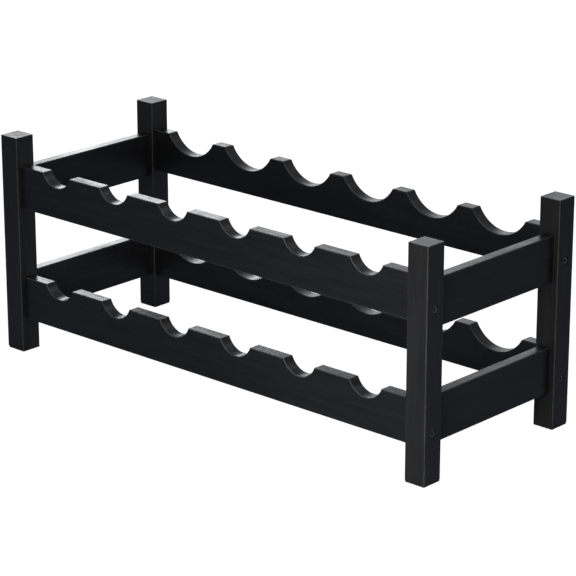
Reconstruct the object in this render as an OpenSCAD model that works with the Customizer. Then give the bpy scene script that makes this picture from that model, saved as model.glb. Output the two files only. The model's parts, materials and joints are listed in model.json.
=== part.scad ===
// Two-tier wooden countertop wine rack.
// Four square legs carry two tiers. On each tier two plain side boards join the
// front leg to the rear leg, a front rail has small notches for the bottle necks
// and a rear rail has wide notches for the bottle bodies.
// Frame: origin on the table under the middle of the rack, +X to the right,
// +Y to the back, +Z up. The bottle necks point to -Y.

/* [Overall] */
// Width over the legs
rack_w = 650; // [640:1:760]
// Depth over the legs
rack_d = 250; // [220:1:320]
// Height from the table to the tops of the legs
rack_h = 265; // [250:1:340]

/* [Legs] */
// Side of a square leg
leg_s = 27; // [26:0.5:32]
// Chamfer on the four long edges of a leg
leg_ease = 1; // [0.4:0.1:3]

/* [Rails] */
// Thickness of a notched rail, front to back
rail_t = 15; // [12:0.5:18]
// Height of a notched rail
rail_h = 52; // [46:1:58]
// Height of the lower rails' bottom edge above the table
rail_low = 41; // [25:1:45]
// Height of an upper rail above the lower one
rail_pitch = 137; // [120:1:145]

/* [Side boards] */
// Thickness of a side board
side_t = 13; // [10:0.5:15]
// Height of a side board
side_h = 54; // [50:1:60]
// Height of the lower side boards' bottom edge above the table
side_low = 42; // [38:1:46]
// Height of an upper side board above the lower one
side_pitch = 128.5; // [126:0.5:132]
// How far a side board's outer face is set in from the outer face of the legs
side_inset = 7; // [4:0.5:8]
// Chamfer on the long edges and the ends of a side board
side_ease = 1; // [0.4:0.1:2]

/* [Bottle notches] */
// Bottles on one tier
bottles = 6; // [3:1:6]
// Spacing of the bottles
bottle_pitch = 95; // [88:1:96]
// Radius of the arc under a bottle neck
neck_r = 24; // [20:1:30]
// Depth of a neck notch below the rail's top edge
neck_depth = 15; // [10:1:18]
// Radius of the arc under a bottle body
body_r = 42; // [38:1:46]
// Depth of a body notch below the rail's top edge
body_depth = 22; // [14:1:24]
// Rounding where a notch meets the rail's top edge
notch_round = 3; // [1:0.5:5]

/* [Fixings] */
// Height of a rail screw above the rail's bottom edge
screw_up = 16; // [15:0.5:17]
// Diameter of the screw head
screw_head_d = 10; // [9:0.5:11]
// How deep the screw head is sunk below the leg's face
screw_sink = 1; // [0.5:0.1:2]
// Outside diameter of the screw's thread
screw_d = 7; // [6:0.5:7]
// Length of the screw under its head
screw_l = 56; // [45:1:60]
// Height of a rail dowel above the rail's bottom edge
rail_dowel_up = 31; // [30.5:0.5:31.5]
// Diameter of a rail dowel
rail_dowel_d = 8; // [6:1:8]
// Diameter of a side board dowel
side_dowel_d = 6; // [5:1:6]
// Length of every dowel
dowel_l = 30; // [24:1:30]

/* [Feet] */
// Side of a square foot pad
pad_s = 26.4; // [22:0.2:26.4]
// Thickness of a foot pad
pad_t = 2; // [1:0.5:4]

/* [Hidden] */
$fn = 96;

LEFT = -1;
RIGHT = 1;
FRONT = -1;
REAR = 1;
LOWER = 0;
UPPER = 1;

paint = [0.13, 0.13, 0.145];
beech = [0.80, 0.62, 0.42];
black_steel = [0.08, 0.08, 0.085];
pad_foam = [0.05, 0.05, 0.05];

cut = 1;                                    // how far a cutter runs past a face
hair = 0.05;                                // overlap where two curves run together
leg_x = rack_w / 2 - leg_s / 2;             // middle of a leg, sideways
leg_y = rack_d / 2 - leg_s / 2;             // middle of a leg, front to back
rail_len = rack_w - 2 * leg_s;
side_len = rack_d - 2 * leg_s;
side_x = rack_w / 2 - side_inset - side_t / 2;
dowel_hole = dowel_l / 2 + 0.5;             // half a dowel and room for glue
side_dowel_up = [7, side_h - 7];            // the two dowels of a board's end
head_h = 3;
head_bore_d = screw_head_d + 0.4;
head_bore = screw_sink + head_h;
shank_bore_d = screw_d + 0.2;
screw_in_rail = screw_l + head_bore - leg_s + 1;
hex_af = 4;                                 // socket size across its flats
hex_deep = 2.2;
thread_core_d = screw_d - 2;
thread_pitch = 3;
shank_l = 18;                               // plain shank under the head
tip_l = 4;

function rail_z(tier) = rail_low + tier * rail_pitch;
function side_z(tier) = side_low + tier * side_pitch;

// A rectangle centred on the origin with its four corners chamfered
module eased_rect(w, h, c) {
    polygon([
        [-w / 2 + c, -h / 2], [w / 2 - c, -h / 2],
        [w / 2, -h / 2 + c], [w / 2, h / 2 - c],
        [w / 2 - c, h / 2], [-w / 2 + c, h / 2],
        [-w / 2, h / 2 - c], [-w / 2, -h / 2 + c]
    ]);
}

// A cylinder along +X from the origin
module rod_x(d, l) {
    rotate([0, 90, 0]) cylinder(d = d, h = l);
}

// A cylinder along +Y from the origin
module rod_y(d, l) {
    rotate([-90, 0, 0]) cylinder(d = d, h = l);
}

// A leg. It is drawn as the right rear one and mirrored to its corner.
module leg(side, end) {
    color(paint)
    mirror([side == LEFT ? 1 : 0, 0, 0]) mirror([0, end == FRONT ? 1 : 0, 0])
    difference() {
        translate([leg_x, leg_y, pad_t])
            linear_extrude(rack_h - pad_t) eased_rect(leg_s, leg_s, leg_ease);
        for (tier = [LOWER, UPPER]) {
            translate([leg_x - leg_s / 2 - cut, leg_y, rail_z(tier) + screw_up])
                rod_x(shank_bore_d, leg_s + 2 * cut);
            translate([rack_w / 2 - head_bore, leg_y, rail_z(tier) + screw_up])
                rod_x(head_bore_d, head_bore + cut);
            translate([leg_x - leg_s / 2 - cut, leg_y, rail_z(tier) + rail_dowel_up])
                rod_x(rail_dowel_d, dowel_hole + cut);
            for (up = side_dowel_up)
                translate([side_x, leg_y - leg_s / 2 - cut, side_z(tier) + up])
                    rod_y(side_dowel_d, dowel_hole + cut);
        }
    }
}

// A side board, its long edges and its ends eased, with two dowel holes in each end
module side_board(side, tier) {
    color(paint)
    translate([side * side_x, 0, side_z(tier)])
    difference() {
        intersection() {
            translate([0, side_len / 2, side_h / 2]) rotate([90, 0, 0])
                linear_extrude(side_len) eased_rect(side_t, side_h, side_ease);
            linear_extrude(side_h) eased_rect(side_t, side_len, side_ease);
        }
        for (end = [FRONT, REAR])
            for (up = side_dowel_up)
                mirror([0, end == REAR ? 1 : 0, 0])
                    translate([0, -side_len / 2 - cut, up])
                        rod_y(side_dowel_d, dowel_hole + cut);
    }
}

// The outline of one notch, cut down from a top edge at height 0. The arc runs into
// the edge through a small rounding on each side, set in by a hair so that the curves
// cross instead of only touching.
module notch(r, depth) {
    arc_z = r - depth;
    round_z = hair - notch_round;
    apart = r + notch_round - hair;
    round_x = sqrt(pow(apart, 2) - pow(arc_z - round_z, 2));
    meet_x = round_x * r / apart;
    meet_z = arc_z - (arc_z - round_z) * r / apart;
    intersection() {
        translate([0, arc_z]) circle(r);
        translate([-r, -2 * r]) square([2 * r, 2 * r + cut]);
    }
    difference() {
        polygon([
            [-round_x, cut], [-round_x, 0], [-meet_x, meet_z],
            [meet_x, meet_z], [round_x, 0], [round_x, cut]
        ]);
        for (s = [-1, 1])
            translate([s * round_x, round_z]) circle(notch_round);
    }
}

// A notched rail, with a screw hole and a dowel hole in each end
module rail(end, tier, r, depth) {
    color(paint)
    translate([0, end * leg_y, rail_z(tier)])
    difference() {
        translate([0, rail_t / 2, 0]) rotate([90, 0, 0]) linear_extrude(rail_t)
            difference() {
                translate([-rail_len / 2, 0]) square([rail_len, rail_h]);
                for (i = [0 : bottles - 1])
                    translate([(i - (bottles - 1) / 2) * bottle_pitch, rail_h])
                        notch(r, depth);
            }
        for (s = [LEFT, RIGHT]) mirror([s == RIGHT ? 1 : 0, 0, 0]) {
            translate([-rail_len / 2 - cut, 0, screw_up])
                rod_x(screw_d, screw_in_rail + cut);
            translate([-rail_len / 2 - cut, 0, rail_dowel_up])
                rod_x(rail_dowel_d, dowel_hole + cut);
        }
    }
}

module front_rail(tier) { rail(FRONT, tier, neck_r, neck_depth); }
module rear_rail(tier) { rail(REAR, tier, body_r, body_depth); }

// A furniture screw along -X, the top of its head at the origin. The thread is a row
// of rings.
module screw() {
    core_end = screw_l - tip_l;
    ridges = floor((core_end - shank_l) / thread_pitch);
    rotate([0, -90, 0]) {
        difference() {
            cylinder(d = screw_head_d, h = head_h);
            translate([0, 0, -cut])
                cylinder(d = hex_af / cos(30), h = hex_deep + cut, $fn = 6);
        }
        translate([0, 0, head_h]) rotate_extrude() polygon(concat(
            [[0, 0], [screw_d / 2, 0], [screw_d / 2, shank_l]],
            [for (i = [0 : ridges - 1], p = [0, 1, 2])
                let (z = shank_l + i * thread_pitch)
                p == 0 ? [thread_core_d / 2, z + thread_pitch * 0.3]
                : p == 1 ? [thread_core_d / 2, z + thread_pitch * 0.6]
                : [screw_d / 2, z + thread_pitch * 0.9]],
            [[thread_core_d / 2, core_end], [0.6, screw_l], [0, screw_l]]
        ));
    }
}

module rail_screws(side) {
    color(black_steel)
    for (end = [FRONT, REAR], tier = [LOWER, UPPER])
        mirror([side == LEFT ? 1 : 0, 0, 0])
            translate([rack_w / 2 - screw_sink, end * leg_y, rail_z(tier) + screw_up])
                screw();
}

module rail_dowels(side) {
    color(beech)
    for (end = [FRONT, REAR], tier = [LOWER, UPPER])
        translate([side * rail_len / 2 - dowel_l / 2, end * leg_y,
                   rail_z(tier) + rail_dowel_up])
            rod_x(rail_dowel_d, dowel_l);
}

module side_dowels(side) {
    color(beech)
    for (end = [FRONT, REAR], tier = [LOWER, UPPER], up = side_dowel_up)
        translate([side * side_x, end * side_len / 2 - dowel_l / 2, side_z(tier) + up])
            rod_y(side_dowel_d, dowel_l);
}

module foot_pad(side, end) {
    color(pad_foam)
    translate([side * leg_x, end * leg_y, 0])
        linear_extrude(pad_t) eased_rect(pad_s, pad_s, leg_ease);
}

leg(LEFT, FRONT);  // leg_front_left
leg(RIGHT, FRONT);  // leg_front_right
leg(LEFT, REAR);  // leg_rear_left
leg(RIGHT, REAR);  // leg_rear_right
side_board(LEFT, UPPER);  // side_board_upper_left
side_board(RIGHT, UPPER);  // side_board_upper_right
side_board(LEFT, LOWER);  // side_board_lower_left
side_board(RIGHT, LOWER);  // side_board_lower_right
front_rail(UPPER);  // front_rail_upper
front_rail(LOWER);  // front_rail_lower
rear_rail(UPPER);  // rear_rail_upper
rear_rail(LOWER);  // rear_rail_lower
rail_screws(LEFT);  // rail_screws_left
rail_screws(RIGHT);  // rail_screws_right
rail_dowels(LEFT);  // rail_dowels_left
rail_dowels(RIGHT);  // rail_dowels_right
side_dowels(LEFT);  // side_dowels_left
side_dowels(RIGHT);  // side_dowels_right
foot_pad(LEFT, FRONT);  // foot_pad_front_left
foot_pad(RIGHT, FRONT);  // foot_pad_front_right
foot_pad(LEFT, REAR);  // foot_pad_rear_left
foot_pad(RIGHT, REAR);  // foot_pad_rear_right
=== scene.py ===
# %% [markdown]
# # A black wooden rack for twelve wine bottles
#
# The rack is two ladder-like sides, each of two legs and two boards, joined by four
# notched rails. Its sizes are fixed by the design that is loaded first. Every piece made
# below is put where the design has its plain version, and takes over from it.

# %% Load the design
import json
import math

import bmesh
import bpy
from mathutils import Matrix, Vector


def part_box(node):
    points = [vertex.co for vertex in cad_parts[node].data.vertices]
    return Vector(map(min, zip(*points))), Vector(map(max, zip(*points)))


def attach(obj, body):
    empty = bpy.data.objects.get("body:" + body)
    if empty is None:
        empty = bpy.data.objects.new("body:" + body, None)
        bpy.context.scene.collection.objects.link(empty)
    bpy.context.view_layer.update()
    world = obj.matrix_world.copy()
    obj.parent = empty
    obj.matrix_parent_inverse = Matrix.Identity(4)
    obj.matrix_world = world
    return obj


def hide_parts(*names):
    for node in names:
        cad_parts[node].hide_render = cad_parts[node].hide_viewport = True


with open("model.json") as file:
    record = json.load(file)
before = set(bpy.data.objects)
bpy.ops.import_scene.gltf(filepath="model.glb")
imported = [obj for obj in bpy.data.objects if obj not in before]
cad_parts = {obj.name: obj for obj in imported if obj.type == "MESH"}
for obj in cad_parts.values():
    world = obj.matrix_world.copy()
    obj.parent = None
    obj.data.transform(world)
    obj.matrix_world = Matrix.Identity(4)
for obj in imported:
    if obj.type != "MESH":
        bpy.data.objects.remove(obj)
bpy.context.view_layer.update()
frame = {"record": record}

# %% [markdown]
# ## Marking out
#
# A maker marks every part from one story stick, so that the parts fit each other. The
# stick here is the loaded design: its parts' corners, and the bottle places that its record
# lists. Numbers are written out only for what those don't tell, such as how far up a rail
# its screw goes. Blender works in metres, so a millimetre gets a name.

# %% Mark out
MM = 0.001
X, Y, Z = 0, 1, 2
leg_low, leg_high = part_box("leg_front_right")
leg_wide = leg_high.x - leg_low.x
leg_middle = (leg_low + leg_high) / 2
board_low, board_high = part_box("side_board_lower_right")
board_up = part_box("side_board_upper_right")[0].z - board_low.z
rail_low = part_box("front_rail_lower")[0]
rail_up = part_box("front_rail_upper")[0].z - rail_low.z
bottle_x = sorted(
    mount["pos_m"][0] for mount in frame["record"]["mounts"]
    if mount["name"].startswith("bottle_place_lower"))
print("a leg is", round(leg_wide / MM, 1), "mm wide, bottles lie at x =", bottle_x)

screw_up = 16 * MM          # above a rail's bottom edge
rail_dowel_up = 31 * MM     # above a rail's bottom edge
side_dowel_in = 7 * MM      # from a board's bottom edge and from its top edge

# %% [markdown]
# ## Tools for the bench
#
# Blender's operators act on whatever is selected, so each step begins by clearing the
# selection. `pick` then selects points, edges or faces by a test on where they are. The
# design tells where every corner is, and such a test finds the same ones each time that this
# file runs.

# %% Selecting
TOUCH = 0.02 * MM     # two points closer than this count as one place


def near(a, b, room=TOUCH):
    return abs(a - b) < room


def clear_selection():
    if bpy.context.object and bpy.context.object.mode != "OBJECT":
        bpy.ops.object.mode_set(mode="OBJECT")
    bpy.ops.object.select_all(action="DESELECT")


def take(piece):
    clear_selection()
    piece.select_set(True)
    bpy.context.view_layer.objects.active = piece


def pick(piece, kind, test):
    """Go into edit mode and select the 'VERT', 'EDGE' or 'FACE' elements that pass a test."""
    take(piece)
    bpy.ops.object.mode_set(mode="EDIT")
    bpy.ops.mesh.select_mode(type=kind)
    bpy.ops.mesh.select_all(action="DESELECT")
    mesh = bmesh.from_edit_mesh(piece.data)
    chosen = {"VERT": mesh.verts, "EDGE": mesh.edges, "FACE": mesh.faces}[kind]
    chosen = [element for element in chosen if test(element)]
    for element in chosen:
        element.select_set(True)
    mesh.select_flush_mode()
    bmesh.update_edit_mesh(piece.data)
    return len(chosen)


def done_editing():
    bpy.ops.object.mode_set(mode="OBJECT")


# %% [markdown]
# Sawn stock is a cube stretched between two corners. A drill or a hole saw is a cylinder
# laid along its axis, and a Boolean modifier takes it out of the wood. All the cutters of a
# part are joined first, because one cut leaves a cleaner mesh than ten.

# %% Sawing and drilling
CLEAR = 1 * MM     # how far outside the wood a cutter starts
HOLE_SIDES = 48


def stock(name, low, high):
    clear_selection()
    low, high = Vector(low), Vector(high)
    bpy.ops.mesh.primitive_cube_add(size=1, location=(low + high) / 2, scale=high - low)
    piece = bpy.context.object
    piece.name = piece.data.name = name
    bpy.ops.object.transform_apply(location=True, rotation=True, scale=True)
    return piece


def drill(surface, along, diameter, deep, sides=HOLE_SIDES):
    """A cylinder that enters the wood at a point of its surface and goes along a direction."""
    clear_selection()
    along = Vector(along).normalized()
    bpy.ops.mesh.primitive_cylinder_add(
        vertices=sides,
        radius=diameter / 2,
        depth=deep + CLEAR,
        location=Vector(surface) + along * (deep - CLEAR) / 2,
        rotation=along.to_track_quat("Z", "Y").to_euler())
    return bpy.context.object


def cut_out(piece, cutters):
    clear_selection()
    for cutter in cutters:
        cutter.select_set(True)
    bpy.context.view_layer.objects.active = cutters[0]
    if len(cutters) > 1:
        bpy.ops.object.join()
    cutter = bpy.context.object
    take(piece)
    bpy.ops.object.modifier_add(type="BOOLEAN")
    cut = piece.modifiers[-1]
    cut.operation = "DIFFERENCE"
    cut.solver = "EXACT"
    cut.use_self = True
    cut.object = cutter
    bpy.ops.object.modifier_apply(modifier=cut.name)
    bpy.data.objects.remove(cutter)


# %% [markdown]
# Lacquer runs thin over every rounded edge, and hands and cloths polish it there. So that
# the finish can show this, and a painted highlight along each crest as well, each point of a
# mesh carries a number: 0 on the flats, rising to 1 at the crest of a rounding. On a
# box-shaped piece a point that touches none of the six sides must be on a rounding, and how
# far it is from the nearest side says where.

# %% Marking the rounded edges
EDGE_MARK = "edge_mark"
CREST = 1 - math.sqrt(0.5)     # how deep a rounding's crest lies, for a radius of 1


def mark_edges(piece, how_worn):
    marks = piece.data.attributes.new(EDGE_MARK, "FLOAT", "POINT")
    for mark, vertex in zip(marks.data, piece.data.vertices):
        mark.value = how_worn(vertex.co)
    return sum(1 for mark in marks.data if mark.value > 0.5)


def box_edge(low, high, radius, end_radius):
    """How far up the rounding of a box's edge a point lies, from 0 to 1.

    end_radius is that of the edges round the top and the bottom.
    """
    def how_worn(point):
        across_x, across_y, upright = (min(a - b, c - a) for a, b, c in zip(point, low, high))
        side = min(across_x, across_y)
        if upright < end_radius and side < end_radius:
            return min(1.0, min(upright, side) / (CREST * end_radius))
        if across_x < radius and across_y < radius:
            return min(1.0, side / (CREST * radius))
        return 0.0
    return how_worn


# %% [markdown]
# `install` finishes a piece. Doubled points are merged, the faces are turned outwards, and
# the shading is made smooth over roundings and flat over flats: weighted normals do that by
# letting the largest faces decide. Then the piece is hung on the rack's one body, and the part
# of the design that it stands for is hidden.

# %% Copying and installing
SMOOTH_BELOW = math.radians(40)
DOUBLED = 0.001 * MM     # points closer than this are merged
installed = []


def copy_of(piece, name, flip=(1, 1, 1), shift=(0, 0, 0)):
    """A copy with a mesh of its own, flipped about the rack's middle planes, then moved."""
    take(piece)
    bpy.ops.object.duplicate(linked=False)
    twin = bpy.context.object
    twin.name = twin.data.name = name
    bpy.ops.object.mode_set(mode="EDIT")
    bpy.ops.mesh.select_all(action="SELECT")
    bpy.ops.transform.resize(value=flip, center_override=(0, 0, 0))
    bpy.ops.transform.translate(value=shift)
    done_editing()
    return twin


def install(piece, node):
    take(piece)
    bpy.ops.object.mode_set(mode="EDIT")
    bpy.ops.mesh.select_all(action="SELECT")
    bpy.ops.mesh.remove_doubles(threshold=DOUBLED)
    bpy.ops.mesh.normals_make_consistent(inside=False)
    done_editing()
    bpy.ops.object.shade_smooth_by_angle(angle=SMOOTH_BELOW)
    bpy.ops.object.modifier_add(type="WEIGHTED_NORMAL")
    piece.modifiers[-1].keep_sharp = True
    bpy.ops.object.modifier_apply(modifier=piece.modifiers[-1].name)
    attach(piece, "root")
    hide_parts(node)
    installed.append(piece)


# %% [markdown]
# ## The four legs
#
# A leg is a 27 mm square stick. The planer eases its four long edges; its sawn ends are
# only touched with sandpaper, so their edges are crisper. Two bevels copy that, a wide one
# along the leg and a small one round its ends. The holes come last, so that the bevels run
# clean.
#
# One leg is made, the front right one. The others are its mirror images, because the real
# ones are drilled in left and right pairs.

# %% Shape a leg
leg_radius = 1.3 * MM
leg_end_radius = 0.6 * MM
ROUND = 0.5     # a bevel's profile that follows a circle


def is_upright(edge):
    a, b = (vertex.co for vertex in edge.verts)
    return near(a.x, b.x) and near(a.y, b.y)


def is_round_an_end(edge):
    a, b = (vertex.co for vertex in edge.verts)
    return near(a.z, b.z) and (near(a.z, leg_low.z) or near(a.z, leg_high.z))


leg = stock("leg_of_front_right", leg_low, leg_high)
pick(leg, "EDGE", is_upright)
bpy.ops.mesh.bevel(offset=leg_radius, segments=4, profile=ROUND)
pick(leg, "EDGE", is_round_an_end)
bpy.ops.mesh.bevel(offset=leg_end_radius, segments=3, profile=ROUND)
done_editing()
print("the planed leg has", len(leg.data.polygons), "faces")

# %% [markdown]
# Each rail is held by a screw and a dowel. The screw passes through the leg, and its head
# sinks into a wider counterbore, a little below the surface. Each end of a side board has
# two dowels. The holes are as deep as half a dowel, with half a millimetre for glue.

# %% Drill the leg
head_bore_d = 10.4 * MM
head_bore_deep = 4 * MM
shank_bore_d = 7.2 * MM
rail_dowel_d = 8 * MM
side_dowel_d = 6 * MM
dowel_long = 30 * MM
dowel_hole_deep = dowel_long / 2 + 0.5 * MM

board_x = (board_low.x + board_high.x) / 2
board_tall = board_high.z - board_low.z
side_dowel_z = [
    board_low.z + tier * board_up + up
    for tier in (0, 1) for up in (side_dowel_in, board_tall - side_dowel_in)]

drills = []
for tier in (0, 1):
    rail_z = rail_low.z + tier * rail_up
    outside = (leg_high.x, leg_middle.y, rail_z + screw_up)
    inside = (leg_low.x, leg_middle.y, rail_z + rail_dowel_up)
    drills.append(drill(outside, (-1, 0, 0), head_bore_d, head_bore_deep, sides=64))
    drills.append(drill(outside, (-1, 0, 0), shank_bore_d, leg_wide + CLEAR))
    drills.append(drill(inside, (1, 0, 0), rail_dowel_d, dowel_hole_deep))
for dowel_z in side_dowel_z:
    back_face = (board_x, leg_high.y, dowel_z)
    drills.append(drill(back_face, (0, -1, 0), side_dowel_d, dowel_hole_deep))
print("drilling", len(drills), "holes")
cut_out(leg, drills)
print(mark_edges(leg, box_edge(leg_low, leg_high, leg_radius, leg_end_radius)), "crest points")

# %% Set up the four legs
legs = {
    "leg_front_right": leg,
    "leg_front_left": copy_of(leg, "leg_of_front_left", flip=(-1, 1, 1)),
    "leg_rear_right": copy_of(leg, "leg_of_rear_right", flip=(1, -1, 1)),
    "leg_rear_left": copy_of(leg, "leg_of_rear_left", flip=(-1, -1, 1)),
}
for node, piece in legs.items():
    install(piece, node)

# %% [markdown]
# ## The side boards
#
# A side board is thinner than the legs and set back from their outer faces, which leaves a
# shadow line along both. All its edges are eased, those of its ends too, so that it meets
# the leg in a fine groove. Beveling every edge of the stock at once gives that, with the
# corners blended.

# %% Make a side board
board_radius = 1.2 * MM

board = stock("board_of_lower_right", board_low, board_high)
pick(board, "EDGE", lambda edge: True)
bpy.ops.mesh.bevel(offset=board_radius, segments=4, profile=ROUND)
done_editing()

drills = []
for up in (side_dowel_in, board_tall - side_dowel_in):
    for end_y, along in ((board_low.y, 1), (board_high.y, -1)):
        end_face = (board_x, end_y, board_low.z + up)
        drills.append(drill(end_face, (0, along, 0), side_dowel_d, dowel_hole_deep))
cut_out(board, drills)
board_wear_and_highlight_crest = box_edge(board_low, board_high, board_radius, board_radius)
print(mark_edges(board, board_wear_and_highlight_crest), "crest points")

# %% Set up the four side boards
boards = {
    "side_board_lower_right": board,
    "side_board_upper_right": copy_of(board, "board_of_upper_right", shift=(0, 0, board_up)),
    "side_board_lower_left": copy_of(board, "board_of_lower_left", flip=(-1, 1, 1)),
    "side_board_upper_left": copy_of(
        board, "board_of_upper_left", flip=(-1, 1, 1), shift=(0, 0, board_up)),
}
for node, piece in boards.items():
    install(piece, node)

# %% [markdown]
# ## The notched rails
#
# A bottle's neck lies in a small notch of a front rail and its body in a wide notch of a
# rear rail. Both are cut with a hole saw of the notch's radius, set above the rail's top
# edge by what the notch isn't deep. The point that a saw leaves where the arc meets the top
# edge would splinter, so it is rounded off. Last, a small router goes round the whole
# outline on both faces.
#
# The corner rounding is a bevel of the short edges across the rail, and the router's pass
# is a bevel of the edges that lie in the two faces. The rail's ends stay square, because
# they butt against the legs.

# %% Shape a rail
rail_radius = 1.1 * MM
notch_corner = 3 * MM
notch_sides = 144
screw_hole_d = 7 * MM
screw_hole_deep = 34 * MM


def make_rail(node, name, saw_radius, notch_deep):
    low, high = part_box(node)
    middle_y = (low.y + high.y) / 2
    rail = stock(name, low, high)

    saws = []
    for x in bottle_x:
        start = (x, low.y, high.z - notch_deep + saw_radius)
        saws.append(drill(start, (0, 1, 0), 2 * saw_radius, high.y - low.y + CLEAR, notch_sides))
    cut_out(rail, saws)

    def is_notch_corner(edge):
        a, b = (vertex.co for vertex in edge.verts)
        crosses = near(a.x, b.x) and near(a.z, high.z) and near(b.z, high.z)
        return crosses and abs(a.x) < high.x - CLEAR

    corners = pick(rail, "EDGE", is_notch_corner)
    bpy.ops.mesh.bevel(offset=notch_corner, offset_type="WIDTH", segments=5, profile=ROUND)
    done_editing()

    def is_outline(edge):
        a, b = (vertex.co for vertex in edge.verts)
        in_a_face = near(a.y, b.y) and (near(a.y, low.y) or near(a.y, high.y))
        at_an_end = near(a.x, b.x) and near(abs(a.x), high.x)
        return in_a_face and not at_an_end and len(edge.link_faces) == 2 and (
            abs(edge.link_faces[0].normal.dot(edge.link_faces[1].normal)) < 0.5)

    outline = pick(rail, "EDGE", is_outline)
    bpy.ops.mesh.bevel(offset=rail_radius, segments=4, profile=ROUND)
    done_editing()

    drills = []
    for end, along in ((low.x, 1), (high.x, -1)):
        screw_at = (end, middle_y, low.z + screw_up)
        dowel_at = (end, middle_y, low.z + rail_dowel_up)
        drills.append(drill(screw_at, (along, 0, 0), screw_hole_d, screw_hole_deep))
        drills.append(drill(dowel_at, (along, 0, 0), rail_dowel_d, dowel_hole_deep))
    cut_out(rail, drills)
    print(name, "has", corners, "notch corners and", outline, "outline edges")

    def how_worn(point):
        """Depth below a face tells how far round the rounding a point is."""
        turned = 1 - min(point.y - low.y, high.y - point.y) / rail_radius
        if not 0 < turned < 1:
            return 0.0
        return 2 * turned * math.sqrt(1 - turned ** 2)

    mark_edges(rail, how_worn)
    return rail


# %% Make the front and the rear rails
neck_radius, neck_deep = 24 * MM, 15 * MM
body_radius, body_deep = 42 * MM, 22 * MM
front_rail = make_rail("front_rail_lower", "rail_of_lower_front", neck_radius, neck_deep)
rear_rail = make_rail("rear_rail_lower", "rail_of_lower_rear", body_radius, body_deep)
rails = {
    "front_rail_lower": front_rail,
    "front_rail_upper": copy_of(front_rail, "rail_of_upper_front", shift=(0, 0, rail_up)),
    "rear_rail_lower": rear_rail,
    "rear_rail_upper": copy_of(rear_rail, "rail_of_upper_rear", shift=(0, 0, rail_up)),
}
for node, piece in rails.items():
    install(piece, node)

# %% [markdown]
# ## The screws
#
# A furniture screw has a flat cylindrical head with a six-sided socket, a plain shank and a
# coarse thread that grips the end grain of the rail. It is made upright at the origin, head
# up, and turned on its side when it is finished.
#
# The head is a cylinder with its rim beveled, and a six-sided cutter makes the socket. The
# bottom face is then inset to the shank's width and extruded down. Each ridge of the thread
# is four more extrusions of that same face: drawn in to the core, straight, drawn out again,
# and straight. A thread is really one long spiral, but here it is hidden in the wood, and
# rings look alike.

# %% Make a screw
screw_head_d = 10 * MM
screw_head_tall = 3 * MM
head_rim = 0.5 * MM
screw_long = 56 * MM
screw_sink = 1 * MM
socket_across = 4 * MM
socket_deep = 2.2 * MM
socket_rim = 0.25 * MM
shank_d = 7 * MM
core_d = 5 * MM
plain_shank = 18 * MM
thread_pitch = 3 * MM
tip_long = 4 * MM


def grow_down(by, scale=1.0):
    """Extrude the selected face down and scale it about the screw's axis."""
    bpy.ops.mesh.extrude_region_move(TRANSFORM_OT_translate={"value": (0, 0, -by)})
    bpy.ops.transform.resize(value=(scale, scale, 1), center_override=(0, 0, 0))


def is_bottom(face):
    return face.normal.z < -0.9


clear_selection()
bpy.ops.mesh.primitive_cylinder_add(
    vertices=HOLE_SIDES, radius=screw_head_d / 2, depth=screw_head_tall,
    location=(0, 0, -screw_head_tall / 2))
screw = bpy.context.object
screw.name = screw.data.name = "screw_pattern"
bpy.ops.object.transform_apply(location=True, rotation=True, scale=True)
pick(screw, "EDGE", lambda edge: all(near(v.co.z, 0) for v in edge.verts))
bpy.ops.mesh.bevel(offset=head_rim, segments=4, profile=ROUND)
pick(screw, "FACE", is_bottom)
bpy.ops.mesh.inset(thickness=(screw_head_d - shank_d) / 2)
grow_down(plain_shank)
core = core_d / shank_d
flank = thread_pitch * 0.3
crest_wide = thread_pitch * 0.1
tip_narrows = 0.25
for ridge in range(int((screw_long - tip_long - plain_shank) / thread_pitch)):
    grow_down(flank, core)
    grow_down(flank)
    grow_down(flank, 1 / core)
    grow_down(crest_wide)
grow_down(flank, core)
lowest = min(vertex.co.z for vertex in bmesh.from_edit_mesh(screw.data).verts)
grow_down(screw_head_tall + screw_long + lowest, tip_narrows)
done_editing()
print("the screw is", round(screw.dimensions.z / MM, 1), "mm long")

# %% [markdown]
# The socket is cut with a six-sided cylinder. Its size across the flats is what a hex key
# measures, and a cylinder's radius reaches to its corners, so one is worked out from the
# other. A second, shallow cone-like bevel round the socket's mouth is what guides the key in.

# %% Cut the socket and mark the rim
socket_corner = socket_across / 2 / math.cos(math.radians(30))
cut_out(screw, [drill((0, 0, 0), (0, 0, -1), 2 * socket_corner, socket_deep, sides=6)])
pick(screw, "EDGE", lambda edge: all(
    near(v.co.z, 0) and v.co.xy.length < socket_corner + TOUCH for v in edge.verts))
bpy.ops.mesh.bevel(offset=socket_rim, segments=1)
done_editing()


# The rim and the socket's mouth are marked for pale steel: worn oxide, and a painted highlight
# where the rim catches light.
def worn_rim(point):
    out = math.hypot(point.x, point.y)
    on_rim = -head_rim <= point.z and out > screw_head_d / 2 - head_rim
    at_mouth = near(point.z, 0) and out < socket_corner + 0.4 * MM
    return 0.8 if on_rim or at_mouth else 0.0


mark_edges(screw, worn_rim)

# %% [markdown]
# The finished screw is laid along X with its head outwards. The mesh itself is turned, in
# edit mode, and the object stays unturned at the origin: the pattern of a finish reads the
# object's own coordinates, so it would turn along with the object.

# %% Drive in the eight screws
pick(screw, "FACE", lambda face: True)
bpy.ops.transform.rotate(value=math.radians(-90), orient_axis="Y", center_override=(0, 0, 0))
screw_at = (leg_high.x - screw_sink, leg_middle.y, rail_low.z + screw_up)
bpy.ops.transform.translate(value=screw_at)
done_editing()

corners = [
    (side, end, tier)
    for side in ("right", "left") for end in ("front", "rear") for tier in ("lower", "upper")]


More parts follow.
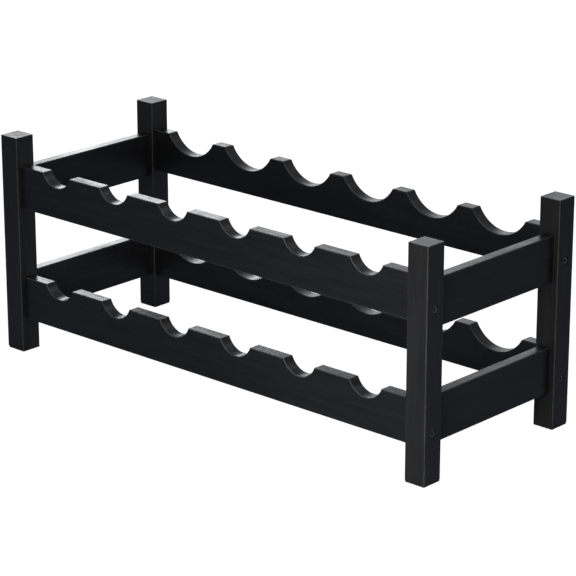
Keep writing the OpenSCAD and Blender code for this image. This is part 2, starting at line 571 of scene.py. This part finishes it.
def at_every_joint(piece, what):
    """Flip and shift one piece to each end of each rail. It is made for the first one."""
    for side, end, tier in corners:
        name = what + "_of_" + side + "_" + end + "_" + tier
        flip = (1 if side == "right" else -1, 1 if end == "front" else -1, 1)
        shift = (0, 0, rail_up if tier == "upper" else 0)
        twin = copy_of(piece, name, flip, shift)
        install(twin, "rail_" + what + "s_" + side)
    bpy.data.objects.remove(piece)


at_every_joint(screw, "screw")
print("pieces so far:", len(installed))

# %% [markdown]
# ## The dowels
#
# A dowel is a rod of beech with chamfered ends and shallow flutes, which let the air and the
# spare glue out of the hole. The flutes are made by drawing every third line of points in
# towards the axis. None of the dowels shows, but the joints are built with them.

# %% Make a dowel of either size
DOWEL_SIDES = 48
end_chamfer = 0.8 * MM
flute_scale = 0.93     # how far in a flute's points are drawn


def make_dowel(name, diameter, along, middle):
    clear_selection()
    along = Vector(along)
    bpy.ops.mesh.primitive_cylinder_add(
        vertices=DOWEL_SIDES, radius=diameter / 2, depth=dowel_long,
        rotation=along.to_track_quat("Z", "Y").to_euler())
    dowel = bpy.context.object
    dowel.name = dowel.data.name = name
    bpy.ops.object.transform_apply(location=True, rotation=True, scale=True)

    def is_end_rim(edge):
        a, b = (vertex.co.dot(along) for vertex in edge.verts)
        return near(a, b) and near(abs(a), dowel_long / 2)

    pick(dowel, "EDGE", is_end_rim)
    bpy.ops.mesh.bevel(offset=end_chamfer, segments=1)

    def in_a_flute(vertex):
        across = vertex.co - along * vertex.co.dot(along)
        if across.length < diameter / 2 - TOUCH:
            return False
        first, second = [value for value, axis in zip(across, along) if abs(axis) < 0.5]
        step = math.degrees(math.atan2(second, first)) / (360 / DOWEL_SIDES)
        return round(step) % 3 == 0

    flutes = pick(dowel, "VERT", in_a_flute) // 2
    squeeze = [1 if abs(axis) > 0.5 else flute_scale for axis in along]
    bpy.ops.transform.resize(value=squeeze, center_override=(0, 0, 0))
    bpy.ops.mesh.select_all(action="SELECT")
    bpy.ops.transform.translate(value=middle)
    done_editing()
    print(name, "has", flutes, "flutes")
    return dowel


# %% Glue the dowels in
rail_dowel = make_dowel(
    "dowel_for_rail", rail_dowel_d, (1, 0, 0),
    (leg_low.x, leg_middle.y, rail_low.z + rail_dowel_up))
at_every_joint(rail_dowel, "dowel")

side_dowel = make_dowel(
    "dowel_for_board", side_dowel_d, (0, 1, 0), (board_x, board_low.y, side_dowel_z[0]))
for side, across in (("right", 1), ("left", -1)):
    for end, back in (("front", 1), ("rear", -1)):
        for number, dowel_z in enumerate(side_dowel_z, start=1):
            name = "side_dowel_of_" + side + "_" + end + "_" + str(number)
            twin = copy_of(
                side_dowel, name, flip=(across, back, 1), shift=(0, 0, dowel_z - side_dowel_z[0]))
            install(twin, "side_dowels_" + side)
bpy.data.objects.remove(side_dowel)
print("pieces so far:", len(installed))

# %% [markdown]
# ## The foot pads
#
# Under each leg sticks a square of foam rubber that keeps the rack from scratching. Under
# the rack's weight its sides bulge a little, so the middle line of the stock is pushed
# outwards after a bisect has made one. Nobody sticks four pads on exactly alike, so each has
# its own small shift. All the shifts are inwards, so that no pad passes a leg's outer face.

# %% Make the pads
pad_bulge = 0.25 * MM
pad_corner = 0.9 * MM
pad_edge = 0.35 * MM
pad_shift = {
    "front_left": (0.6, 0.2), "front_right": (-0.1, 0.1),
    "rear_left": (0.2, -0.3), "rear_right": (-0.3, -0.1)}

pad_low, pad_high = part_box("foot_pad_front_right")
pad_middle = (pad_low + pad_high) / 2
inward = Vector((pad_bulge, pad_bulge, 0))
pad = stock("pad_for_all", pad_low + inward - pad_middle, pad_high - inward - pad_middle)
pick(pad, "EDGE", is_upright)
bpy.ops.mesh.bevel(offset=pad_corner, segments=4, profile=ROUND)
bpy.ops.mesh.select_all(action="SELECT")
bpy.ops.mesh.bisect(plane_co=(0, 0, 0), plane_no=(0, 0, 1))
pick(pad, "VERT", lambda vertex: near(vertex.co.z, 0))
wide = 1 + pad_bulge / (pad_high.x - pad_middle.x - pad_bulge)
bpy.ops.transform.resize(value=(wide, wide, 1), center_override=(0, 0, 0))
pick(pad, "EDGE", lambda edge: all(abs(v.co.z) > pad_high.z / 2 - TOUCH for v in edge.verts))
bpy.ops.mesh.bevel(offset=pad_edge, segments=3, profile=ROUND)
done_editing()

for corner, (right, back) in pad_shift.items():
    node = "foot_pad_" + corner
    low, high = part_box(node)
    shift = (low + high) / 2 + Vector((right, back, 0)) * MM
    install(copy_of(pad, "pad_of_" + corner, shift=shift), node)
bpy.data.objects.remove(pad)
print("all", len(installed), "pieces are made")

# %% [markdown]
# ## Patterns that several finishes share
#
# A node group is a small machine with named sockets: built once, placed in each material
# with other numbers. `new_group` makes one, gives it its sockets and returns it with its two
# ends. A `Wire` belongs to one tree of nodes, and adds nodes to it and links them.

# %% Wiring helpers
class Wire:
    """Adds nodes to one tree and links them."""

    def __init__(self, tree):
        self.tree = tree
        self.column = 0

    def node(self, kind, **settings):
        made = self.tree.nodes.new(kind)
        self.column += 1
        made.location = (180 * self.column, 0)
        for name, value in settings.items():
            setattr(made, name, value)
        return made

    def plug(self, socket, value):
        """Link a value that comes out of another node, or set a plain one."""
        if isinstance(value, bpy.types.NodeSocket):
            self.tree.links.new(value, socket)
        else:
            socket.default_value = value

    def feed(self, node, **inputs):
        """Plug values into a node's inputs, named with underscores for spaces."""
        for name, value in inputs.items():
            self.plug(node.inputs[name.replace("_", " ")], value)
        return node

    def noise(self, vector, scale, detail=2.0, roughness=0.5, distortion=0.0):
        made = self.node("ShaderNodeTexNoise")
        self.feed(made, Vector=vector, Scale=scale, Detail=detail)
        self.feed(made, Roughness=roughness, Distortion=distortion)
        return made.outputs["Fac"]

    def stretch(self, vector, scale, turn=(0, 0, 0), shift=(0, 0, 0)):
        made = self.node("ShaderNodeMapping")
        self.feed(made, Vector=vector, Scale=scale, Rotation=turn, Location=shift)
        return made.outputs["Vector"]

    def ease(self, value, low, high, to_low=0.0, to_high=1.0):
        """Map the range low..high to to_low..to_high with soft ends."""
        made = self.node("ShaderNodeMapRange", interpolation_type="SMOOTHSTEP")
        self.feed(made, Value=value, From_Min=low, From_Max=high, To_Min=to_low, To_Max=to_high)
        return made.outputs["Result"]

    def math(self, operation, first, second):
        made = self.node("ShaderNodeMath", operation=operation)
        for socket, value in zip(made.inputs, (first, second)):
            self.plug(socket, value)
        return made.outputs["Value"]

    def blend(self, mask, first, second):
        """Mix two colours by a mask."""
        made = self.node("ShaderNodeMix", data_type="RGBA")
        sockets = [socket for socket in made.inputs if socket.enabled]
        for socket, value in zip(sockets, (mask, first, second)):
            self.plug(socket, value)
        return [socket for socket in made.outputs if socket.enabled][0]


def new_group(name, inputs, outputs):
    """A shader node group. inputs maps a socket's name to its default, or to None for a vector."""
    group = bpy.data.node_groups.new(name, "ShaderNodeTree")
    for socket, default in inputs.items():
        kind = "NodeSocketVector" if default is None else "NodeSocketFloat"
        made = group.interface.new_socket(name=socket, in_out="INPUT", socket_type=kind)
        if default is not None:
            made.default_value = default
    for socket in outputs:
        group.interface.new_socket(name=socket, in_out="OUTPUT", socket_type="NodeSocketFloat")
    wire = Wire(group)
    return group, wire, wire.node("NodeGroupInput").outputs, wire.node("NodeGroupOutput")


def place_group(wire, group, **inputs):
    made = wire.node("ShaderNodeGroup", node_tree=group)
    return wire.feed(made, **inputs).outputs


# %% [markdown]
# **Wood grain.** Lacquer hides the colour of the wood but not its grain: long fine pores
# still show as tiny furrows, and bands of harder and softer wood take the lacquer a little
# differently. Both are noise squeezed across the grain and drawn out along it. The group
# expects the grain to run along Z, and each material turns its coordinates to suit.

# %% Wood grain
grain, wire, given, out = new_group(
    "wood_grain", {"Vector": None, "Pore Density": 1.0}, ("Pores", "Bands"))
drawn_out = wire.stretch(given["Vector"], (1, 1, 0.02))
pores = wire.noise(drawn_out, scale=1500, detail=3, roughness=0.6)
patches = wire.noise(wire.stretch(given["Vector"], (1, 1, 0.1)), scale=90, detail=2)
limit = wire.math("SUBTRACT", 1.08, wire.math("MULTIPLY", given["Pore Density"], patches))
furrows = wire.ease(wire.math("SUBTRACT", pores, limit), -0.06, 0.10)
bands = wire.noise(
    wire.stretch(given["Vector"], (1, 1, 0.06)), scale=160, detail=4, distortion=0.6)
wire.feed(out, Pores=furrows, Bands=wire.ease(bands, 0.3, 0.7))
print("wood grain:", len(grain.nodes), "nodes")

# %% [markdown]
# **Lacquer skin.** Sprayed lacquer dries with a faint orange-peel surface, a few dents and
# nibs of dust, and its sheen drifts from one place to the next. The group gives a height for
# the skin and a number for its sheen.

# %% Lacquer skin
skin, wire, given, out = new_group("lacquer_skin", {"Vector": None}, ("Height", "Sheen"))
peel = wire.noise(given["Vector"], scale=420, detail=1.5, roughness=0.4)
dust = wire.node("ShaderNodeTexVoronoi", feature="F1")
wire.feed(dust, Vector=given["Vector"], Scale=160.0)
nibs = wire.ease(dust.outputs["Distance"], 0.05, 0.10, 1.0, 0.0)
height = wire.math("ADD", peel, wire.math("MULTIPLY", nibs, 0.5))
cloudy = wire.noise(given["Vector"], scale=14, detail=3)
smears = wire.noise(wire.stretch(given["Vector"], (1, 1, 0.4)), scale=85, detail=4)
sheen = wire.math("ADD", wire.math("MULTIPLY", cloudy, 0.6), wire.math("MULTIPLY", smears, 0.4))
wire.feed(out, Height=height, Sheen=wire.ease(sheen, 0.35, 0.65))
print("lacquer skin:", len(skin.nodes), "nodes")

# %% [markdown]
# ** Edge wear and painted highlight.** The marks on the meshes say where a rounding's crest
# is. The mask made from them lightens the crests: partly wear, partly a painted highlight
# along the edges. Wear is patchy, so two sizes of noise eat into the marks: a large one
# decides which stretches of an edge are rubbed, a small one makes their outline ragged.

# %% Edge wear and painted highlight
wear_and_highlight, wire, given, out = new_group("edge_wear_and_highlight", {"Vector": None, "Amount": 0.5}, ("Worn",))
crest = wire.node("ShaderNodeAttribute", attribute_name=EDGE_MARK).outputs["Fac"]
stretches = wire.noise(given["Vector"], scale=28, detail=2)
ragged = wire.noise(given["Vector"], scale=900, detail=3, roughness=0.65)
mottle = wire.math(
    "ADD", wire.math("MULTIPLY", stretches, 0.65), wire.math("MULTIPLY", ragged, 0.35))
level = wire.math("ADD", wire.math("MULTIPLY", crest, 0.5), mottle)
limit = wire.math("SUBTRACT", 1.2, wire.math("MULTIPLY", given["Amount"], 0.5))
worn_lit_patches = wire.ease(wire.math("SUBTRACT", level, limit), 0.0, 0.12)
thin_lit_spots = wire.math("MULTIPLY", wire.ease(ragged, 0.25, 0.75, 0.25, 0.75), given["Amount"])
wire.feed(out, Worn=wire.math("MULTIPLY", wire.math("MAXIMUM", worn_lit_patches, thin_lit_spots), crest))
print("edge wear:", len(wear_and_highlight.nodes), "nodes")

# %% [markdown]
# ## Black lacquered wood
#
# The finish is a satin black: nearly no colour of its own, and a soft, wide reflection.
# The base colour wavers between two blacks along the bands of the wood, the pores are darker
# furrows, and the crests of rounded edges turn a warm grey: partly wear where the lacquer is
# thin, partly a painted highlight along the edges.
#
# The grain runs along each piece, so there is one material for each direction. They differ
# only in how the coordinates are turned before they reach the grain.

# %% Mix the lacquer
RUN_UP = (0, 0, 0)
RUN_ACROSS = (0, math.radians(90), 0)
RUN_BACK = (math.radians(90), 0, 0)


def new_material(name):
    material = bpy.data.materials.new(name)
    material.use_nodes = True
    material.node_tree.nodes.clear()
    wire = Wire(material.node_tree)
    place = wire.node("ShaderNodeTexCoord").outputs["Object"]
    shader = wire.node("ShaderNodeBsdfPrincipled")
    output = wire.node("ShaderNodeOutputMaterial")
    material.node_tree.links.new(shader.outputs["BSDF"], output.inputs["Surface"])
    return material, wire, place, shader


def bump(wire, height, distance):
    made = wire.node("ShaderNodeBump")
    return wire.feed(made, Height=height, Distance=distance, Strength=1.0).outputs["Normal"]


LACQUER_IOR = 1.5
PORE_BLACK = (0.004, 0.004, 0.004, 1)


def lacquered(name, turn, deep_black, soft_black, worn_and_lit_grey, wear_and_highlight_amount):
    material, wire, place, shader = new_material(name)
    along = wire.stretch(place, (1, 1, 1), turn=turn)
    wood = place_group(wire, grain, Vector=along, Pore_Density=1.0)
    coat = place_group(wire, skin, Vector=place)
    worn_and_lit = place_group(wire, wear_and_highlight, Vector=place, Amount=wear_and_highlight_amount)["Worn"]
    colour = wire.blend(wood["Bands"], (*deep_black, 1), (*soft_black, 1))
    colour = wire.blend(wire.math("MULTIPLY", wood["Pores"], 0.4), colour, PORE_BLACK)
    # Crests of rounded edges: worn lacquer and a painted highlight, in one warm grey.
    colour = wire.blend(wire.math("MULTIPLY", worn_and_lit, 0.8), colour, (*worn_and_lit_grey, 1))
    sheen = wire.ease(coat["Sheen"], 0.0, 1.0, 0.26, 0.36)
    sheen = wire.math("ADD", sheen, wire.math("MULTIPLY", wood["Pores"], 0.08))
    sheen = wire.math("ADD", sheen, wire.math("MULTIPLY", worn_and_lit, 0.10))
    furrowed = wire.math("MULTIPLY", wood["Pores"], -0.6)
    banded = wire.math("MULTIPLY", wood["Bands"], 0.25)
    height = wire.math("ADD", wire.math("ADD", furrowed, banded), coat["Height"])
    wire.feed(shader, Base_Color=colour, Roughness=sheen, IOR=LACQUER_IOR)
    wire.feed(shader, Normal=bump(wire, height, 0.045 * MM))
    return material


# Warm greys for the edge crests: bare wood where the lacquer is worn, and a painted highlight.
leg_worn_and_lit_grey = (0.080, 0.078, 0.075)
long_worn_and_lit_grey = (0.080, 0.078, 0.076)
leg_black = lacquered(
    "black_lacquer_on_legs", RUN_UP,
    (0.0095, 0.0095, 0.0095), (0.0125, 0.0125, 0.0123), leg_worn_and_lit_grey, 0.9)
rail_black = lacquered(
    "black_lacquer_on_rails", RUN_ACROSS,
    (0.0060, 0.0062, 0.0066), (0.0090, 0.0092, 0.0096), long_worn_and_lit_grey, 0.8)
board_black = lacquered(
    "black_lacquer_on_boards", RUN_BACK,
    (0.0065, 0.0066, 0.0072), (0.0095, 0.0096, 0.0102), long_worn_and_lit_grey, 0.8)

# %% [markdown]
# ** End grain.** The sawn ends of the legs drink the lacquer, so they dry matter, and the
# yearly rings stay visible as fine arcs. Their grey, much lighter than the lacquer, is partly
# end grain and partly painted light: it stands in for the sheen that the leg tops catch. A
# wave texture draws rings about an axis beside the leg, as in a stick sawn from well outside
# the heart of the tree.

# %% Mix the lacquer for sawn ends
ring_spacing = 2.3 * MM
WAVE_UNIT = math.pi / 10       # a wave texture of scale 1 repeats after this distance


def sawn_end(name, turn):
    material, wire, place, shader = new_material(name)
    along = wire.stretch(place, (1, 1, 1), turn=turn)
    rings = wire.node("ShaderNodeTexWave", wave_type="RINGS", rings_direction="Z")
    heart = wire.stretch(along, (1, 1, 0.2), shift=(-0.25, 0.12, 0))
    wire.feed(rings, Vector=heart, Scale=WAVE_UNIT / ring_spacing, Distortion=2.5)
    wire.feed(rings, Detail=3.0, Detail_Scale=0.6, Detail_Roughness=0.6)
    late_wood = wire.ease(rings.outputs["Fac"], 0.45, 0.95)
    vessels = wire.ease(wire.noise(place, scale=1900, detail=2), 0.58, 0.70)
    coat = place_group(wire, skin, Vector=place)
    worn_and_lit = place_group(wire, wear_and_highlight, Vector=place, Amount=0.8)["Worn"]
    # Lighter greys of the ring pattern: end grain, and a painted sheen for the leg tops.
    colour = wire.blend(late_wood, (0.052, 0.052, 0.054, 1), (0.028, 0.028, 0.029, 1))
    colour = wire.blend(wire.math("MULTIPLY", vessels, 0.6), colour, (0.010, 0.010, 0.010, 1))
    colour = wire.blend(wire.math("MULTIPLY", worn_and_lit, 0.8), colour, (*leg_worn_and_lit_grey, 1))
    rough = wire.ease(coat["Sheen"], 0.0, 1.0, 0.38, 0.48)
    rough = wire.math("ADD", rough, wire.math("MULTIPLY", late_wood, 0.06))
    height = wire.math("MULTIPLY", late_wood, 0.9)
    height = wire.math("SUBTRACT", height, wire.math("MULTIPLY", vessels, 0.6))
    height = wire.math("ADD", height, coat["Height"])
    wire.feed(shader, Base_Color=colour, Roughness=rough, IOR=LACQUER_IOR)
    wire.feed(shader, Normal=bump(wire, height, 0.07 * MM))
    return material


leg_end = sawn_end("black_lacquer_on_leg_ends", RUN_UP)
rail_end = sawn_end("black_lacquer_on_rail_ends", RUN_ACROSS)
board_end = sawn_end("black_lacquer_on_board_ends", RUN_BACK)

# %% [markdown]
# ## Blackened steel, beech and foam rubber
#
# A screw's head is blackened steel: a dark metal whose thin oxide wears off round the rim
# and at the mouth of the socket. The pale steel there is also a painted highlight on the rim.
# Beech is pale, with short dark flecks. Foam rubber is dull and full of cells.

# %% Mix the other finishes
def blackened_steel():
    material, wire, place, shader = new_material("blackened_screw_steel")
    worn_and_lit = place_group(wire, wear_and_highlight, Vector=place, Amount=1.0)["Worn"]
    stains = wire.ease(wire.noise(place, scale=350, detail=4, roughness=0.6), 0.35, 0.70)
    colour = wire.blend(stains, (0.012, 0.012, 0.013, 1), (0.022, 0.022, 0.023, 1))
    # Pale steel on the marked rim and mouth: worn oxide and a painted highlight.
    colour = wire.blend(worn_and_lit, colour, (0.16, 0.155, 0.15, 1))
    rough = wire.ease(stains, 0.0, 1.0, 0.40, 0.52)
    rough = wire.math("SUBTRACT", rough, wire.math("MULTIPLY", worn_and_lit, 0.10))
    scratches = wire.noise(wire.stretch(place, (1, 1, 0.15)), scale=2600, detail=2)
    wire.feed(shader, Base_Color=colour, Roughness=rough, IOR=1.6)
    wire.feed(shader, Normal=bump(wire, scratches, 0.02 * MM))
    return material


def beech(name, turn):
    material, wire, place, shader = new_material(name)
    along = wire.stretch(place, (1, 1, 1), turn=turn)
    wood = place_group(wire, grain, Vector=along, Pore_Density=0.8)
    flecks = wire.ease(wire.noise(wire.stretch(along, (1, 1, 0.15)), scale=1100), 0.60, 0.68)
    colour = wire.blend(wood["Bands"], (0.62, 0.38, 0.20, 1), (0.50, 0.29, 0.14, 1))
    colour = wire.blend(wire.math("MULTIPLY", flecks, 0.7), colour, (0.27, 0.13, 0.06, 1))
    rough = wire.ease(wood["Pores"], 0.0, 1.0, 0.62, 0.78)
    wire.feed(shader, Base_Color=colour, Roughness=rough, IOR=1.45)
    height = wire.math("MULTIPLY", wood["Pores"], -1.0)
    wire.feed(shader, Normal=bump(wire, height, 0.05 * MM))
    return material


def foam_rubber():
    material, wire, place, shader = new_material("grey_black_foam_rubber")
    cells = wire.node("ShaderNodeTexVoronoi", feature="F1")
    wire.feed(cells, Vector=place, Scale=2200.0)
    walls = wire.ease(cells.outputs["Distance"], 0.15, 0.65)
    dusty = wire.ease(wire.noise(place, scale=220, detail=3), 0.40, 0.75)
    colour = wire.blend(walls, (0.006, 0.006, 0.006, 1), (0.018, 0.018, 0.018, 1))
    colour = wire.blend(wire.math("MULTIPLY", dusty, 0.5), colour, (0.040, 0.038, 0.035, 1))
    rough = wire.ease(dusty, 0.0, 1.0, 0.78, 0.92)
    wire.feed(shader, Base_Color=colour, Roughness=rough, IOR=1.45)
    wire.feed(shader, Normal=bump(wire, walls, 0.15 * MM))
    return material


steel = blackened_steel()
rail_dowel_beech = beech("beech_along_the_rack", RUN_ACROSS)
side_dowel_beech = beech("beech_front_to_back", RUN_BACK)
foam = foam_rubber()

# %% [markdown]
# Each piece now gets its finish. Wooden pieces have two: one for their long sides, and one
# for the faces that look straight along the grain, which is where the saw went through.

# %% Apply the finishes
SQUARE_ON = 0.98     # how nearly a sawn face must look along the grain


def paint(piece, along_grain, axis=None, across_grain=None):
    piece.data.materials.clear()
    piece.data.materials.append(along_grain)
    if across_grain is None:
        return
    piece.data.materials.append(across_grain)
    ends = [face for face in piece.data.polygons if abs(face.normal[axis]) > SQUARE_ON]
    low = min(face.center[axis] for face in ends)
    high = max(face.center[axis] for face in ends)
    for face in ends:
        if near(face.center[axis], low) or near(face.center[axis], high):
            face.material_index = 1


finishes = {
    "leg": (leg_black, Z, leg_end),
    "rail": (rail_black, X, rail_end),
    "board": (board_black, Y, board_end),
    "screw": (steel,),
    "dowel": (rail_dowel_beech,),
    "side_dowel": (side_dowel_beech,),
    "pad": (foam,),
}
for piece in installed:
    paint(piece, *finishes[piece.name.split("_of_")[0]])
print("painted", len(installed), "pieces with", len(bpy.data.materials), "materials")

# %% [markdown]
# ## The studio
#
# The rack stands on a pale floor. Black lacquer mostly shows what it mirrors, so the room
# matters more than the lamps: its upright faces mirror the floor, and its level faces mirror
# whatever stands low behind it.
#
# The camera sees the floor nearly white. In reflections, and as a source of bounced light, it
# is much darker and a little blue, as in a room where only the background is lit.

# %% Lay the floor
clear_selection()
bpy.ops.mesh.primitive_plane_add(size=60, location=(0, 0, 0))
floor = bpy.context.object
floor.name = "studio_floor"

pale = bpy.data.materials.new("pale_studio_floor")
pale.use_nodes = True
pale.node_tree.nodes.clear()
wire = Wire(pale.node_tree)
seen = wire.node("ShaderNodeEmission")
wire.feed(seen, Color=(1, 1, 1, 1), Strength=0.97)
shaded = wire.node("ShaderNodeBsdfDiffuse")
wire.feed(shaded, Color=(0.12, 0.12, 0.12, 1))
both = wire.node("ShaderNodeAddShader")
mirrored = wire.node("ShaderNodeBsdfDiffuse")
wire.feed(mirrored, Color=(0.145, 0.155, 0.195, 1))
choose = wire.node("ShaderNodeMixShader")
output = wire.node("ShaderNodeOutputMaterial")
links = pale.node_tree.links
links.new(seen.outputs[0], both.inputs[0])
links.new(shaded.outputs[0], both.inputs[1])
links.new(wire.node("ShaderNodeLightPath").outputs["Is Camera Ray"], choose.inputs["Fac"])
links.new(mirrored.outputs[0], choose.inputs[1])
links.new(both.outputs[0], choose.inputs[2])
links.new(choose.outputs[0], output.inputs["Surface"])
floor.data.materials.append(pale)

# %% [markdown]
# The air around is treated in the same way: white to the camera, dim to everything else.

# %% Fill the room with air
world = bpy.data.worlds.new("studio_air")
bpy.context.scene.world = world
world.use_nodes = True
world.node_tree.nodes.clear()
wire = Wire(world.node_tree)
white = wire.node("ShaderNodeBackground")
wire.feed(white, Color=(1, 1, 1, 1), Strength=1.0)
dim = wire.node("ShaderNodeBackground")
wire.feed(dim, Color=(0.86, 0.92, 1, 1), Strength=0.22)
choose = wire.node("ShaderNodeMixShader")
output = wire.node("ShaderNodeOutputWorld")
links = world.node_tree.links
links.new(wire.node("ShaderNodeLightPath").outputs["Is Camera Ray"], choose.inputs["Fac"])
links.new(dim.outputs[0], choose.inputs[1])
links.new(white.outputs[0], choose.inputs[2])
links.new(choose.outputs[0], output.inputs["Surface"])

# %% [markdown]
# Two panels of soft light stand low behind the rack and turn the tops of the rails and legs
# silvery. The stronger one stands further left, where the left legs mirror it. One more hangs
# overhead. The key light by the front right leg and the fill behind the rack brighten the
# upright faces. They stay out of reflections, where they would show as hard white patches.

# %% Hang the lights
def soft_panel(name, place, target, wide, tall, radiance, tint=(1, 1, 1)):
    """A rectangular light that faces a point. Its power follows from how bright it looks."""
    away = Vector(place) - Vector(target)
    light = bpy.data.lights.new(name, "AREA")
    light.shape = "RECTANGLE"
    light.size = wide
    light.size_y = tall
    light.energy = radiance * math.pi * wide * tall
    light.color = tint
    lamp = bpy.data.objects.new(name, light)
    bpy.context.collection.objects.link(lamp)
    lamp.location = place
    lamp.rotation_euler = away.to_track_quat("Z", "Y").to_euler()
    lamp.visible_camera = False
    print(name, "gives", round(light.energy, 1), "W")
    return lamp


middle = (0, 0, 0.15)
soft_panel("panel_behind", (-2.8, 2.7, 1.35), middle, 3.6, 2.0, 1.05, (0.95, 0.98, 1.0))
soft_panel("panel_behind_left", (-3.25, 2.03, 1.3), middle, 1.9, 1.8, 2.9, (0.97, 0.99, 1.0))
soft_panel("panel_overhead", (0.9, 0.7, 2.2), (0.4, 0.3, 0), 1.6, 1.6, 1.2)
key = soft_panel(
    "panel_front_right", (0.48, -0.74, 0.30), (0.26, -0.1, 0.14), 0.4, 0.4, 16, (1.0, 0.98, 0.94))
key.visible_glossy = False
fill = soft_panel("panel_rear_fill", (-1.2, 1.7, 0.8), middle, 1.0, 1.0, 10)
fill.visible_glossy = False

# %% [markdown]
# The camera stands well back with a long lens, a little above the rack and off to its right,
# so that both ends of the rack come out nearly the same size. It is turned towards a point
# inside the rack, which also sets how the rack sits in the frame.

# %% Set up the camera
camera_data = bpy.data.cameras.new("camera")
camera_data.lens = 161.8
camera_data.sensor_width = 36.0
camera = bpy.data.objects.new("camera", camera_data)
bpy.context.collection.objects.link(camera)
camera.location = (1.9082, -2.0705, 1.0583)
look_at = Vector((-0.0152, 0.0366, 0.1048))
camera.rotation_euler = (camera.location - look_at).to_track_quat("Z", "Y").to_euler()
bpy.context.scene.camera = camera
bpy.context.scene.view_settings.view_transform = "Standard"
print("the camera is", round((camera.location - look_at).length, 2), "m away")
